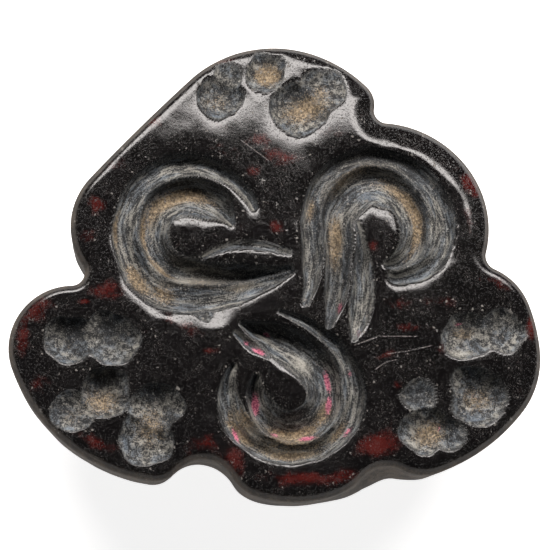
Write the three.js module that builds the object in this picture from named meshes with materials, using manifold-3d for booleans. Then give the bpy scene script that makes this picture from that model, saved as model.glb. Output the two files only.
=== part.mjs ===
// A stone stamp seal, lying face up. Its six-lobed plate has a gently crowned face with three hooked double
// grooves turning around the middle and drilled pits in every lobe. A low pierced lug stands under its back.
// Millimetres, +Z up. The origin is the centre of the lug's flat underside, on which the seal rests.
import * as THREE from 'three';
import { mergeVertices } from 'three/addons/utils/BufferGeometryUtils.js';
import Module from 'manifold-3d';

const wasm = await Module();
wasm.setup();

// Driving dimensions
const SEAL_WIDTH = 38.0;
const PLATE_THICKNESS = 7.5;
const CROWN_RADIUS = 90.0;
const FACE_EDGE_ROUND = 0.35;
const BACK_EDGE_ROUND = 1.3;
const WALL_TAPER = 0.3;
const BACK_DOME = 0.4;
const LUG_HEIGHT = 6.0;
const LUG_LENGTH = 12.5;
const LUG_WIDTH = 7.5;
const LUG_FOOT_ROUND = 0.8;
const LUG_ROOT_FLARE = 1.2;
const LUG_SQUARENESS = 3.2;
const STRING_HOLE_RADIUS = 1.1;
const STRING_HOLE_FLARE = 0.4;
const OUTER_GROOVE_DEPTH = 1.05;
const INNER_GROOVE_DEPTH = 1.5;
const FINE_GROOVE_DEPTH = 0.9;
const GROOVE_LEAN = 0.35;
const PIT_DEPTH = 1.35;

// Fineness of the faceted surfaces
const OUTLINE_TOLERANCE = 0.03;
const GROOVE_STEP = 1.0;
const GROOVE_SIDES = 8;
const PIT_SIDES = 12;
const PIT_STEPS = 3;
const CUTTER_RISE = 0.8;
const SIDE_LEVEL = 1e-3;
const RING_STEPS = 24;
const TAIL_STEPS = 6;
const ROUND_STEPS = 3;
const EDGE_STEPS = 2;
const LUG_SIDES = 36;
const HOLE_SIDES = 16;
const MERGE_DISTANCE = 1e-5;

const FACE_HEIGHT = LUG_HEIGHT + PLATE_THICKNESS;

// The plan is drawn in shares of the seal's width, written as the millimetres of a seal 38 wide.
const DRAWN_WIDTH = 38.0;
const drawn = (value) => value * SEAL_WIDTH / DRAWN_WIDTH;

// Circles of the outline, clockwise from the top as seen from above. The bridge is the radius of the arc that
// joins a circle to the next one, and a negative bridge is hollow.
const LOBES = [
  { name: 'top', x: 0.2, y: 8.9, r: 9.0, bridge: 9.6 },
  { name: 'top shoulder', x: 5.5, y: 13.85, r: 1.85, bridge: -0.9 },
  { name: 'right cheek', x: 8.0, y: 4.85, r: 7.6, bridge: -1.0 },
  { name: 'right ear', x: 14.3, y: -2.5, r: 4.5, bridge: 12.0 },
  { name: 'lower right', x: 12.95, y: -4.7, r: 6.35, bridge: 14.0 },
  { name: 'right foot', x: 10.6, y: -9.95, r: 3.4, bridge: -2.4 },
  { name: 'chin right', x: 3.1, y: -11.0, r: 4.1, bridge: 9.0 },
  { name: 'chin left', x: -0.5, y: -12.3, r: 2.9, bridge: -2.4 },
  { name: 'left foot', x: -8.5, y: -11.95, r: 2.1, bridge: 12.5 },
  { name: 'lower left', x: -14.55, y: -4.5, r: 4.4, bridge: -0.95 },
  { name: 'left cheek', x: -9.35, y: 4.3, r: 5.3, bridge: 200.0 },
];

// Each hook is cut round a ring's centre, anticlockwise from its head, and then runs out to its tail.
// radii are taken at equal steps along the ring, and widths, which are half-widths, along the whole groove.
const RINGS = {
  left: { x: -6.15, y: 3.6 },
  right: { x: 7.25, y: 4.1 },
  bottom: { x: 0.8, y: -8.2 },
};
const HOOKS = [
  { ring: RINGS.left, from: 24, to: 262, run: 3.0, tail: [1.0, 0.9], depth: OUTER_GROOVE_DEPTH,
    radii: [4.95, 5.05, 4.6, 4.4],
    widths: [0.4, 0.88, 0.98, 1.55, 0.3] },
  { ring: RINGS.left, from: 15, to: 262, run: 3.0, tail: [1.0, 1.15], depth: INNER_GROOVE_DEPTH,
    radii: [3.1, 2.68, 2.72, 2.8, 2.6, 2.65, 2.72],
    widths: [0.3, 1.42, 1.42, 1.15, 1.0, 0.95, 0.75, 0.5, 0.2] },
  { ring: RINGS.right, from: -68, to: 180, run: 2.5, tail: [2.1, -1.4], depth: OUTER_GROOVE_DEPTH,
    radii: [3.6, 4.55, 4.9, 5.2, 5.45, 5.1, 4.68],
    widths: [0.6, 0.9, 0.97, 0.87, 0.73, 0.75, 0.8, 0.78, 0.3] },
  { ring: RINGS.right, from: -71, to: 180, run: 4.4, tail: [3.7, -3.0], depth: INNER_GROOVE_DEPTH,
    radii: [2.6, 2.75, 2.85, 3.1, 3.33, 2.98, 2.85],
    widths: [0.4, 1.05, 1.2, 1.48, 1.36, 1.2, 1.0, 0.82, 0.25] },
  { ring: RINGS.bottom, from: 152, to: 390, run: 2.6, tail: [0.3, -2.1], depth: OUTER_GROOVE_DEPTH,
    radii: [4.4, 4.0, 3.9, 4.4, 4.95],
    widths: [0.3, 0.96, 0.9, 0.76, 0.85, 0.98, 0.62, 0.46, 0.2] },
  { ring: RINGS.bottom, from: 149, to: 397, run: 1.8, tail: [-2.4, -2.9], depth: INNER_GROOVE_DEPTH,
    radii: [2.6, 1.95, 1.98, 2.2, 2.55, 2.9],
    widths: [0.35, 0.98, 1.15, 1.2, 1.3, 1.45, 1.4, 1.05, 0.25] },
];

// Short grooves between the hooks: from, over a middle point, to
const FINE_GROOVES = [
  { points: [[-5.1, 1.9], [-2.3, 3.4], [0.9, 2.2]],
    widths: [0.2, 0.34, 0.2], depth: FINE_GROOVE_DEPTH },
  { points: [[5.85, 4.5], [6.7, 0.4], [5.55, -4.0]],
    widths: [0.15, 0.5, 0.8, 0.8, 0.2], depth: OUTER_GROOVE_DEPTH },
  { points: [[-2.9, -3.6], [-1.7, -4.6], [-0.6, -5.3]],
    widths: [0.18, 0.36, 0.18], depth: FINE_GROOVE_DEPTH },
];

// A groove has its full depth where its half-width is this or more
const FULL_DEPTH_WIDTH = 0.6;

// Drilled pits: place, radius and share of the full depth
const PITS = [
  { x: -4.0, y: 13.8, r: 1.65, deep: 0.9 },
  { x: -3.4, y: 15.5, r: 0.95, deep: 0.5 },
  { x: -0.7, y: 15.8, r: 1.55, deep: 0.75 },
  { x: 1.8, y: 13.0, r: 2.0, deep: 1.0 },
  { x: 3.4, y: 14.4, r: 1.8, deep: 0.7 },
  { x: -14.7, y: -4.1, r: 1.75, deep: 0.9 },
  { x: -11.7, y: -4.1, r: 2.0, deep: 0.9 },
  { x: -12.2, y: -7.8, r: 1.8, deep: 1.1 },
  { x: -14.4, y: -9.1, r: 1.6, deep: 0.6 },
  { x: -8.4, y: -8.9, r: 1.85, deep: 0.9 },
  { x: -9.2, y: -11.2, r: 1.85, deep: 0.9 },
  { x: 13.8, y: -3.4, r: 1.7, deep: 0.8 },
  { x: 16.3, y: -2.9, r: 1.65, deep: 0.7 },
  { x: 14.6, y: -7.6, r: 2.05, deep: 1.1 },
  { x: 10.7, y: -10.3, r: 1.8, deep: 0.9 },
  { x: 10.2, y: -7.8, r: 1.25, deep: 0.5 },
  { x: 12.3, y: -10.5, r: 1.25, deep: 0.6 },
];

// Height of the crowned face, and of the domed back, above the surface that the seal rests on
function faceHeight(x, y) {
  return FACE_HEIGHT - (x * x + y * y) / (2 * CROWN_RADIUS);
}

function backHeight(share) {
  return LUG_HEIGHT + BACK_DOME * (share * share - 1);
}

// The value at t from 0 to 1 on a smooth curve through evenly spaced values
function along(values, t) {
  const points = values.map((value) => new THREE.Vector3(value, 0, 0));
  const curve = new THREE.CatmullRomCurve3(points, false, 'catmullrom');
  return curve.getPoint(t).x;
}

// Centre of the arc that joins two circles on the way clockwise
function bridgeCentre(a, b, bridge) {
  const reachA = bridge < 0 ? a.r - bridge : bridge - a.r;
  const reachB = bridge < 0 ? b.r - bridge : bridge - b.r;
  const apart = Math.hypot(b.x - a.x, b.y - a.y);
  const forward = { x: (b.x - a.x) / apart, y: (b.y - a.y) / apart };
  const onLine = (reachA * reachA - reachB * reachB + apart * apart) / (2 * apart);
  const aside = Math.sqrt(Math.max(0, reachA * reachA - onLine * onLine)) * (bridge < 0 ? 1 : -1);
  return { x: a.x + forward.x * onLine - forward.y * aside, y: a.y + forward.y * onLine + forward.x * aside };
}

// Points of one arc without its last one, each with the outward direction there
function arcPoints(centre, radius, start, end, hollow) {
  const turn = hollow ? 1 : -1;
  const from = Math.atan2(start.y - centre.y, start.x - centre.x);
  const to = Math.atan2(end.y - centre.y, end.x - centre.x);
  const full = 2 * Math.PI;
  const sweep = ((turn * (to - from)) % full + full) % full;
  const step = 2 * Math.acos(1 - OUTLINE_TOLERANCE / radius);
  const count = Math.max(1, Math.ceil(sweep / step));
  const points = [];
  for (let i = 0; i < count; i++) {
    const angle = from + turn * sweep * i / count;
    const out = { x: -turn * Math.cos(angle), y: -turn * Math.sin(angle) };
    points.push({ x: centre.x - turn * radius * out.x, y: centre.y - turn * radius * out.y, out });
  }
  return points;
}

// The outline, anticlockwise as seen from above
function outline() {
  const circles = LOBES.map((lobe) => ({
    x: drawn(lobe.x), y: drawn(lobe.y), r: drawn(lobe.r), bridge: drawn(lobe.bridge),
  }));
  const towards = (circle, point, sign) => {
    const reach = Math.hypot(point.x - circle.x, point.y - circle.y);
    const share = sign * circle.r / reach;
    return { x: circle.x + (point.x - circle.x) * share, y: circle.y + (point.y - circle.y) * share };
  };
  const bridges = circles.map((circle, i) => {
    const next = circles[(i + 1) % circles.length];
    const centre = bridgeCentre(circle, next, circle.bridge);
    const sign = circle.bridge < 0 ? 1 : -1;
    return { centre, radius: Math.abs(circle.bridge), start: towards(circle, centre, sign),
      end: towards(next, centre, sign), hollow: circle.bridge < 0 };
  });
  const points = circles.flatMap((circle, i) => {
    const before = bridges[(i + circles.length - 1) % circles.length];
    const after = bridges[i];
    return [
      ...arcPoints(circle, circle.r, before.end, after.start, false),
      ...arcPoints(after.centre, after.radius, after.start, after.end, after.hollow),
    ];
  });
  return points.reverse();
}

// Stations of the plate's skin from the middle of the back, round the edge, to the middle of the face.
// Each gives the share of the way from the middle to the outline, the inset from it, and the height.
function plateStations() {
  const stations = [];
  for (const share of [0, 0.5, 1]) {
    stations.push({ share, inset: WALL_TAPER + BACK_EDGE_ROUND, z: () => backHeight(share) });
  }
  for (let i = 1; i <= ROUND_STEPS; i++) {
    const angle = (Math.PI / 2) * i / ROUND_STEPS;
    const inset = WALL_TAPER + BACK_EDGE_ROUND * (1 - Math.sin(angle));
    stations.push({ share: 1, inset, z: () => LUG_HEIGHT + BACK_EDGE_ROUND * (1 - Math.cos(angle)) });
  }
  for (let i = 0; i <= EDGE_STEPS; i++) {
    const angle = (Math.PI / 2) * i / EDGE_STEPS;
    const drop = FACE_EDGE_ROUND * (1 - Math.sin(angle));
    const inset = FACE_EDGE_ROUND * (1 - Math.cos(angle));
    stations.push({ share: 1, inset, z: (x, y) => faceHeight(x, y) - drop });
  }
  for (const share of [0.85, 0.6, 0.3, 0]) {
    stations.push({ share, inset: FACE_EDGE_ROUND, z: faceHeight });
  }
  return stations;
}

// The plate is a lathed disc whose segments are pushed out to the outline
function plateGeometry() {
  const rim = outline();
  const stations = plateStations();
  const profile = stations.map(({ share }, i) => new THREE.Vector2(share, i));
  const disc = new THREE.LatheGeometry(profile, rim.length);
  const position = disc.getAttribute('position');
  for (let segment = 0; segment <= rim.length; segment++) {
    const point = rim[segment % rim.length];
    stations.forEach(({ share, inset, z }, i) => {
      const x = share * (point.x - inset * point.out.x);
      const y = share * (point.y - inset * point.out.y);
      position.setXYZ(segment * stations.length + i, x, y, z(x, y));
    });
  }
  return disc;
}

// The lug is a cylinder drawn out to a rounded oblong, with a rounded foot and a root that flares out
function lugGeometry() {
  const levels = [];
  for (let i = 0; i <= ROUND_STEPS; i++) {
    const angle = (Math.PI / 2) * i / ROUND_STEPS;
    levels.push({ grow: -LUG_FOOT_ROUND * (1 - Math.sin(angle)), z: LUG_FOOT_ROUND * (1 - Math.cos(angle)) });
  }
  for (let i = 0; i <= ROUND_STEPS; i++) {
    const angle = (Math.PI / 2) * i / ROUND_STEPS;
    const grow = LUG_ROOT_FLARE * (1 - Math.cos(angle));
    levels.push({ grow, z: LUG_HEIGHT - LUG_ROOT_FLARE * (1 - Math.sin(angle)) });
  }
  levels.push({ grow: LUG_ROOT_FLARE, z: LUG_HEIGHT + BACK_EDGE_ROUND });
  const lug = new THREE.CylinderGeometry(1, 1, levels.length - 1, LUG_SIDES, levels.length - 1);
  const position = lug.getAttribute('position');
  const squared = (value) => Math.sign(value) * Math.abs(value) ** (2 / LUG_SQUARENESS);
  for (let i = 0; i < position.count; i++) {
    const level = levels[Math.round(position.getY(i) + (levels.length - 1) / 2)];
    const x = squared(position.getX(i)) * (LUG_WIDTH / 2 + level.grow);
    const y = -squared(position.getZ(i)) * (LUG_LENGTH / 2 + level.grow);
    position.setXYZ(i, x, y, level.z);
  }
  return lug;
}

// The string hole is drilled from both sides of the lug, so it is widest at its mouths
function stringHoleGeometry() {
  const reach = LUG_WIDTH / 2 + LUG_ROOT_FLARE;
  const mouth = STRING_HOLE_RADIUS + STRING_HOLE_FLARE * reach / (LUG_WIDTH / 2);
  const profile = [[0, -reach], [mouth, -reach], [STRING_HOLE_RADIUS, 0], [mouth, reach], [0, reach]];
  const hole = new THREE.LatheGeometry(profile.map(([r, y]) => new THREE.Vector2(r, y)), HOLE_SIDES);
  return hole.rotateZ(Math.PI / 2).translate(0, 0, LUG_HEIGHT / 2);
}

// A groove's centre line: a ring whose radius changes on the way, and a tail that leaves it smoothly
function hookLine({ ring, from, to, radii, run, tail }) {
  const points = [];
  for (let i = 0; i <= RING_STEPS; i++) {
    const angle = THREE.MathUtils.degToRad(from + (to - from) * i / RING_STEPS);
    const radius = along(radii, i / RING_STEPS);
    points.push(new THREE.Vector2(ring.x + radius * Math.cos(angle), ring.y + radius * Math.sin(angle)));
  }
  const end = points[RING_STEPS];
  const heading = end.clone().sub(points[RING_STEPS - 1]).normalize();
  const corner = end.clone().addScaledVector(heading, run);
  const bend = new THREE.QuadraticBezierCurve(end, corner, new THREE.Vector2(...tail));
  return new THREE.SplineCurve([...points, ...bend.getPoints(TAIL_STEPS).slice(1)]);
}

function fineLine(points) {
  return new THREE.QuadraticBezierCurve(...points.map(([x, y]) => new THREE.Vector2(x, y)));
}

// A cutter that follows a line over the crowned face. It is a cylinder whose section is half an ellipse as
// wide as the groove, with its deepest point leaning to the outer side, below straight sides that rise clear
// of the face.
function grooveGeometry(line, widths, depth, lean) {
  const steps = Math.ceil(drawn(line.getLength()) / GROOVE_STEP);
  const cutter = new THREE.CylinderGeometry(1, 1, 1, GROOVE_SIDES, steps);
  const position = cutter.getAttribute('position');
  for (let i = 0; i < position.count; i++) {
    const t = position.getY(i) + 0.5;
    const point = line.getPointAt(t);
    const heading = line.getTangentAt(t);
    const width = drawn(along(widths, t));
    const fullness = Math.min(1, width / drawn(FULL_DEPTH_WIDTH));
    const side = position.getX(i);
    const level = position.getZ(i);
    const above = level > SIDE_LEVEL;
    const across = width * (above ? Math.round(side) : side - lean * level);
    const x = drawn(point.x) + heading.y * across;
    const y = drawn(point.y) - heading.x * across;
    const centre = faceHeight(drawn(point.x), drawn(point.y));
    position.setXYZ(i, x, y, centre + level * (above ? CUTTER_RISE : depth * fullness));
  }
  return cutter;
}

// A drilled pit's cutter: a round bowl below straight sides that rise clear of the face
function pitGeometry({ x, y, r, deep }) {
  const profile = [];
  for (let i = 0; i <= PIT_STEPS; i++) {
    const angle = (Math.PI / 2) * i / PIT_STEPS;
    profile.push(new THREE.Vector2(drawn(r) * Math.sin(angle), -PIT_DEPTH * deep * Math.cos(angle)));
  }
  profile.push(new THREE.Vector2(drawn(r), CUTTER_RISE), new THREE.Vector2(0, CUTTER_RISE));
  const bowl = new THREE.LatheGeometry(profile, PIT_SIDES).rotateX(Math.PI / 2);
  return bowl.translate(drawn(x), drawn(y), faceHeight(drawn(x), drawn(y)));
}

// A closed geometry as a solid: equal vertices are merged and faces without an area are dropped
function solid(geometry) {
  const bare = new THREE.BufferGeometry();
  bare.setAttribute('position', geometry.getAttribute('position'));
  bare.setIndex(geometry.getIndex());
  const merged = mergeVertices(bare, MERGE_DISTANCE);
  const index = merged.getIndex().array;
  const faces = [];
  for (let i = 0; i < index.length; i += 3) {
    const [a, b, c] = [index[i], index[i + 1], index[i + 2]];
    if (a !== b && b !== c && c !== a) faces.push(a, b, c);
  }
  return new wasm.Manifold(new wasm.Mesh({
    numProp: 3,
    vertProperties: new Float32Array(merged.getAttribute('position').array),
    triVerts: new Uint32Array(faces),
  }));
}

function asGeometry(manifold) {
  const mesh = manifold.getMesh();
  const geometry = new THREE.BufferGeometry();
  geometry.setAttribute('position', new THREE.BufferAttribute(mesh.vertProperties, 3));
  geometry.setIndex(new THREE.BufferAttribute(mesh.triVerts, 1));
  geometry.computeVertexNormals();
  return geometry;
}

function sealGeometry() {
  const cutters = [
    stringHoleGeometry(),
    ...HOOKS.map((hook) => grooveGeometry(hookLine(hook), hook.widths, hook.depth, GROOVE_LEAN)),
    ...FINE_GROOVES.map(({ points, widths, depth }) => grooveGeometry(fineLine(points), widths, depth, 0)),
    ...PITS.map(pitGeometry),
  ];
  const body = solid(plateGeometry()).add(solid(lugGeometry()));
  return asGeometry(cutters.reduce((carved, cutter) => carved.subtract(solid(cutter)), body));
}

const stone = new THREE.MeshStandardMaterial({ color: 0x1c1416, roughness: 0.3, metalness: 0.0 });
const seal = new THREE.Mesh(sealGeometry(), stone);
seal.name = 'seal';

const stampSeal = new THREE.Group();
stampSeal.add(seal);

export default stampSeal;
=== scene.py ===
"""A stamp seal of dark polished stone, lying face up on the low pierced lug under its back.

Shapes are worked out in millimetres in the CAD frame and put into meshes in metres. Z is up, the carved face
is on top, and its top lobe points along +Y.
"""

import math
from functools import partial, reduce

import bpy
import numpy as np
from mathutils import Matrix, Vector


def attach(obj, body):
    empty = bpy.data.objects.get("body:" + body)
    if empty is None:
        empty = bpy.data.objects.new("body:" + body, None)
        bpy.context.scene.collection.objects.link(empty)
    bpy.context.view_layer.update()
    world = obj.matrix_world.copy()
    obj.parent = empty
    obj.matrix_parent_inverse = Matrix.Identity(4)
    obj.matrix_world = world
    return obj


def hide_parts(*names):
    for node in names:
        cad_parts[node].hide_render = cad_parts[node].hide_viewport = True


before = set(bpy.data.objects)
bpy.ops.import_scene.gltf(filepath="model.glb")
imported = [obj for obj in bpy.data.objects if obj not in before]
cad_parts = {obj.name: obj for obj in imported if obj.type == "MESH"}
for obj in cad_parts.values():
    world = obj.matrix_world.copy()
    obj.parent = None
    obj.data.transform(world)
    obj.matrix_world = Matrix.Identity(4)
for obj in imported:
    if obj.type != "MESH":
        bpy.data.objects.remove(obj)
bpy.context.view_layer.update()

MM = 0.001

# Forms of the seal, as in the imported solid. The back sinks towards the lug, whose root is hollow.
PLATE_THICKNESS = 7.5
CROWN_RADIUS = 90.0
FACE_EDGE_ROUND = 0.6
BACK_EDGE_ROUND = 1.3
WALL_TAPER = 0.3
BACK_SINK = 0.35
LUG_HEIGHT = 6.0
LUG_LENGTH = 12.5
LUG_WIDTH = 7.5
LUG_FOOT_ROUND = 0.8
LUG_ROOT = 0.85
LUG_SQUARENESS = 3.2
STRING_HOLE_RADIUS = 1.1
STRING_HOLE_FLARE = 0.4
STRING_HOLE_ROUND = 0.3
FACE_HEIGHT = LUG_HEIGHT + PLATE_THICKNESS

# Circles of the outline, clockwise from the top: x, y, radius, and the radius of the arc to the next one. The
# arc is hollow where that is negative.
LOBES = [
    (0.2, 8.9, 9.0, 9.6),
    (5.5, 13.85, 1.85, -0.9),
    (8.0, 4.85, 7.6, -1.0),
    (14.3, -2.5, 4.5, 12.0),
    (12.95, -4.7, 6.35, 14.0),
    (10.6, -9.95, 3.4, -2.4),
    (3.1, -11.0, 4.1, 9.0),
    (-0.5, -12.3, 2.9, -2.4),
    (-8.5, -11.95, 2.1, 12.5),
    (-14.55, -4.5, 4.4, -0.95),
    (-9.35, 4.3, 5.3, 200.0),
]

# Hooked grooves: ring centre, start and end of the turn in degrees, ring radii at even steps of the turn, how
# far the tail runs straight on, where it ends, half-widths at even steps of the whole groove, depth
LEFT_RING = (-6.15, 3.6)
RIGHT_RING = (7.25, 4.1)
BOTTOM_RING = (0.8, -8.2)
OUTER_DEPTH = 1.05
INNER_DEPTH = 1.5
FINE_DEPTH = 0.9
HOOKS = {
    "left outer": (LEFT_RING, 24, 262, (4.95, 5.05, 4.6, 4.4), 3.0, (1.0, 0.9),
                   (0.4, 0.88, 0.98, 1.55, 0.3), OUTER_DEPTH),
    "left inner": (LEFT_RING, 15, 262, (3.1, 2.68, 2.72, 2.8, 2.6, 2.65, 2.72), 3.0, (1.0, 1.15),
                   (0.3, 1.42, 1.42, 1.15, 1.0, 0.95, 0.75, 0.5, 0.2), INNER_DEPTH),
    "right outer": (RIGHT_RING, -68, 180, (3.6, 4.55, 4.9, 5.2, 5.45, 5.1, 4.68), 2.5, (2.1, -1.4),
                    (0.6, 0.9, 0.97, 0.87, 0.73, 0.75, 0.8, 0.78, 0.3), OUTER_DEPTH),
    "right inner": (RIGHT_RING, -71, 180, (2.6, 2.75, 2.85, 3.1, 3.33, 2.98, 2.85), 4.4, (3.7, -3.0),
                    (0.4, 1.05, 1.2, 1.48, 1.36, 1.2, 1.0, 0.82, 0.25), INNER_DEPTH),
    "bottom outer": (BOTTOM_RING, 152, 390, (4.4, 4.0, 3.9, 4.4, 4.95), 2.6, (0.3, -2.1),
                     (0.3, 0.96, 0.9, 0.76, 0.85, 0.98, 0.62, 0.46, 0.2), OUTER_DEPTH),
    "bottom inner": (BOTTOM_RING, 149, 397, (2.6, 1.95, 1.98, 2.2, 2.55, 2.9), 1.8, (-2.4, -2.9),
                     (0.35, 0.98, 1.15, 1.2, 1.3, 1.45, 1.4, 1.05, 0.25), INNER_DEPTH),
}

# Short grooves between the hooks: start, middle and end point, half-widths, depth
FINE_GROOVES = {
    "left fine": ((-5.1, 1.9), (-2.3, 3.4), (0.9, 2.2), (0.2, 0.34, 0.2), FINE_DEPTH),
    "right fine": ((5.85, 4.5), (6.7, 0.4), (5.55, -4.0), (0.15, 0.5, 0.8, 0.8, 0.2), OUTER_DEPTH),
    "bottom fine": ((-2.9, -3.6), (-1.7, -4.6), (-0.6, -5.3), (0.18, 0.36, 0.18), FINE_DEPTH),
}
FULL_DEPTH_WIDTH = 0.6

# Drilled pits: x, y, radius, share of the full depth
PIT_DEPTH = 1.35
PITS = [
    (-4.0, 13.8, 1.65, 0.9),
    (-3.4, 15.5, 0.95, 0.5),
    (-0.7, 15.8, 1.55, 0.75),
    (1.8, 13.0, 2.0, 1.0),
    (3.4, 14.4, 1.8, 0.7),
    (-14.7, -4.1, 1.75, 0.9),
    (-11.7, -4.1, 2.0, 0.9),
    (-12.2, -7.8, 1.8, 1.1),
    (-14.4, -9.1, 1.6, 0.6),
    (-8.4, -8.9, 1.85, 0.9),
    (-9.2, -11.2, 1.85, 0.9),
    (13.8, -3.4, 1.7, 0.8),
    (16.3, -2.9, 1.65, 0.7),
    (14.6, -7.6, 2.05, 1.1),
    (10.7, -10.3, 1.8, 0.9),
    (10.2, -7.8, 1.25, 0.5),
    (12.3, -10.5, 1.25, 0.6),
]

# Chips at a groove's lip: x, y, radius, share of the pits' depth
CHIPS = [
    (-5.05, -2.3, 0.55, 0.3),
    (-5.5, -2.2, 0.35, 0.15),
]

# How the carving is cut: the deepest line leans to the outer side, the inner wall is gentler than the outer
# one, and the polished face sinks softly towards every lip
GROOVE_LEAN = 0.35
INNER_WALL_POWER = 1.7
OUTER_WALL_POWER = 2.3
PIT_POWER = 0.75
LIP_DROP = 0.2
LIP_REACH = 0.43
LIP_WANDER = 0.55
PIT_LIP_SHARE = 0.38
CRUMBLE_REACH = 0.32
BLEND = 0.1
CUT_FADE = 0.09
WARP = 0.07
WIDTH_WANDER = 0.06
PIT_WARP = 0.18
SNAP = 0.46
TOOL_MARK = 0.06
PIT_GRAIN = (3.2, 0.5)
GRIT = 0.05
UNDULATION = 0.025
EDGE_WOBBLE = 0.06

# Rolled rim of the face, at even angles anticlockwise from +X: how far the roll reaches in, and how steep it
# is. ROLL_START says how softly it starts.
ROLL_REACH = (0.9, 2.6, 1.2, 0.9, 0.9, 0.9, 1.0, 1.1)
ROLL_SLOPE = (0.3, 0.43, 0.35, 0.3, 0.3, 0.3, 0.35, 0.4)
ROLL_START = 0.6

# Where the lips are worn wider: x, y, reach, how much
WORN_LIPS = [
    (-10.2, -0.6, 1.6, 0.5),
    (-7.6, -2.2, 1.8, 0.8),
    (-4.2, -2.3, 1.4, 1.3),
]

# Where the wall stands further out at the back than at the face: x, y, reach, how far
FLARES = [
    (6.6, -12.4, 2.4, 1.0),
]

# Tints in the grooves, by groove and kind: middle as a share of its length, reach along it, middle and reach
# across it in half-widths, strength
# The dark tints are painted shade, laid on the walls and floors that lie in shade.
GROOVE_TINTS = {
    "left inner": {
        "soil": [(0.24, 3.2, 0.2, 0.42, 1), (0.4, 2, 0.62, 0.28, 0.8), (0.53, 1.4, 0.67, 0.35, 0.9)],
        "dark": [(0.55, 2.5, -0.55, 0.45, 0.8), (0.8, 4, 0.3, 1.2, 0.9)],
    },
    "left outer": {
        "soil": [(0.47, 1.8, 0.75, 0.25, 0.8), (0.6, 1.5, 0.4, 0.5, 0.9), (0.67, 1.2, 0.2, 0.6, 0.7)],
        "dark": [(0.1, 3, 0.8, 0.4, 0.7), (0.66, 2.5, 0.85, 0.14, 0.7)],
        "blue": [(0.88, 2, 0.5, 0.6, 0.8)],
    },
    "right outer": {
        "soil": [(0.74, 1.2, 0.2, 0.6, 0.7)],
        "dark": [(0.5, 5, 0.2, 1.3, 1), (0.8, 2, -0.6, 0.6, 0.6)],
        "blue": [(0.06, 1.8, 0.6, 0.5, 0.9)],
    },
    "right inner": {
        "soil": [(0.48, 2.5, 0.9, 0.4, 0.6), (0.24, 3.6, 0.25, 0.45, 1), (0.69, 2.3, 0.1, 0.5, 1)],
        "dark": [(0.74, 3.5, -0.75, 0.35, 0.9), (0.2, 1.5, -0.7, 0.4, 0.5)],
        "blue": [(0.45, 1.6, -0.5, 0.5, 0.9), (0.92, 1.2, 0, 0.9, 0.6)],
    },
    "bottom inner": {
        "soil": [(0.3, 2.2, 0.35, 0.4, 1), (0.44, 1.2, 0.25, 0.4, 0.9)],
        "dark": [(0.55, 2.5, -0.7, 0.4, 0.7), (0.85, 3.5, 0.7, 0.5, 1)],
        "blue": [(0.96, 1, -0.6, 0.9, 0.8)],
    },
    "bottom outer": {
        "soil": [(0.2, 2.2, 0.15, 0.5, 0.8), (0.36, 2.6, 0.15, 0.5, 0.9), (0.52, 1.6, 0, 0.5, 0.7)],
        "dark": [(0.5, 2.5, 0.8, 0.3, 0.3), (0.75, 4, 0.75, 0.45, 0.8)],
        "blue": [(0.9, 2.5, 0, 0.9, 0.5)],
    },
    "right fine": {
        "dark": [(0.25, 1.4, 0.3, 0.6, 0.8)],
        "blue": [(0.55, 2, 0.3, 0.6, 0.7)],
    },
    "bottom fine": {
        "blue": [(0.15, 0.9, 0.6, 0.9, 0.9)],
    },
}

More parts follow.
